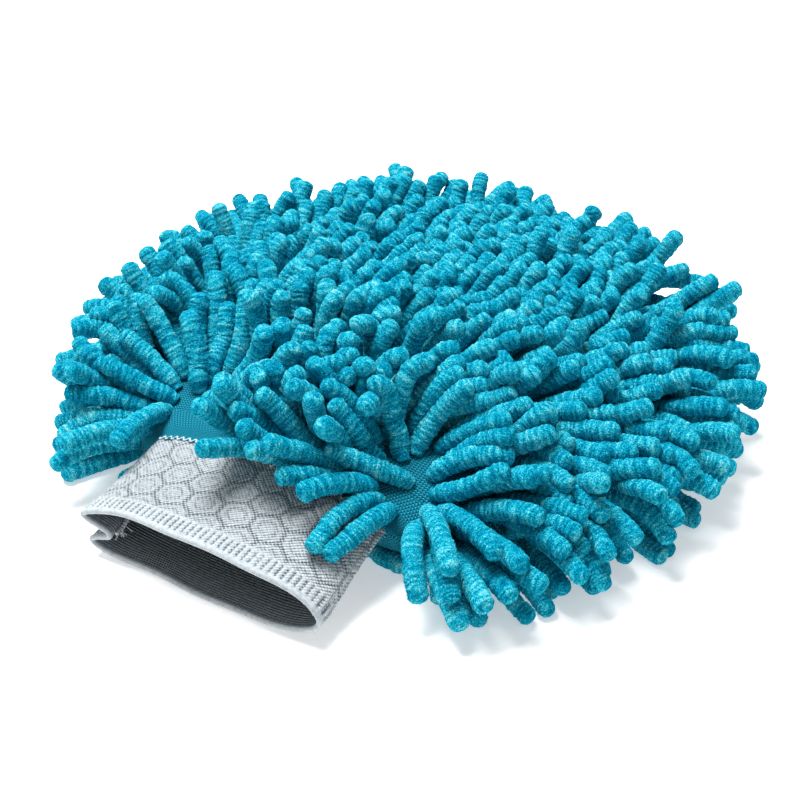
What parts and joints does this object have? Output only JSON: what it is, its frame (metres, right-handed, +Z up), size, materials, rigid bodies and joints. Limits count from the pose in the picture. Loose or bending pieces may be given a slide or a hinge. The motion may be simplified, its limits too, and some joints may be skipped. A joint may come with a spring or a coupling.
{
  "type": "wash mitt",
  "caption": "Soft two-sided wash mitt: chenille fingers over a knit pocket for the hand, with an elastic wrist cuff.",
  "frame": {"origin": "on the surface the mitt lies on, under the middle of its outer box", "axes": "+Z up from the surface, +Y from the wrist cuff to the finger end, +X across the mitt to the right of +Y"},
  "size_m": [0.2556, 0.2624, 0.0658],
  "materials": {
    "chenille": "matte",
    "knit": "matte",
    "cuff_elastic": "matte",
    "thread": "matte"
  },
  "bodies": {
    "palm": {"lower_panel_rear": "knit", "lower_row_01": "chenille", "lower_row_02": "chenille", "lower_row_03": "chenille", "lower_row_04": "chenille", "lower_row_05": "chenille", "lower_row_06": "chenille", "lower_row_07": "chenille", "seam_roll_left": "thread", "seam_roll_right": "thread", "upper_panel_rear": "knit", "upper_row_01": "chenille", "upper_row_02": "chenille", "upper_row_03": "chenille", "upper_row_04": "chenille", "upper_row_05": "chenille", "upper_row_06": "chenille", "upper_row_07": "chenille", "upper_row_08": "chenille"},
    "finger_end": {"lower_panel_front": "knit", "lower_row_08": "chenille", "lower_row_09": "chenille", "lower_row_10": "chenille", "lower_row_11": "chenille", "lower_row_12": "chenille", "lower_row_13": "chenille", "lower_row_14": "chenille", "seam_roll_end": "thread", "upper_panel_front": "knit", "upper_row_09": "chenille", "upper_row_10": "chenille", "upper_row_11": "chenille", "upper_row_12": "chenille", "upper_row_13": "chenille", "upper_row_14": "chenille", "upper_row_15": "chenille", "upper_row_16": "chenille"},
    "cuff": {"cuff_join_stitch_lower": "thread", "cuff_lower": "cuff_elastic", "cuff_side_seam": "cuff_elastic"},
    "cuff_top": {"cuff_join_stitch_upper": "thread", "cuff_upper": "cuff_elastic"}
  },
  "joints": [
    {"name": "knuckle_bend", "type": "hinge", "parent": "palm", "child": "finger_end", "pos_m": [0, 0.01134, 0], "axis": [-1, 0, 0], "range_deg": [0, 40]},
    {"name": "wrist_lift", "type": "hinge", "parent": "palm", "child": "cuff", "pos_m": [0, -0.08716, 0.029], "axis": [-1, 0, 0], "range_deg": [0, 35]},
    {"name": "mouth_open", "type": "hinge", "parent": "cuff", "child": "cuff_top", "pos_m": [0, -0.08116, 0.019], "axis": [-1, 0, 0], "range_deg": [0, 22], "stiffness_Nm_per_rad": 0.05}
  ]
}
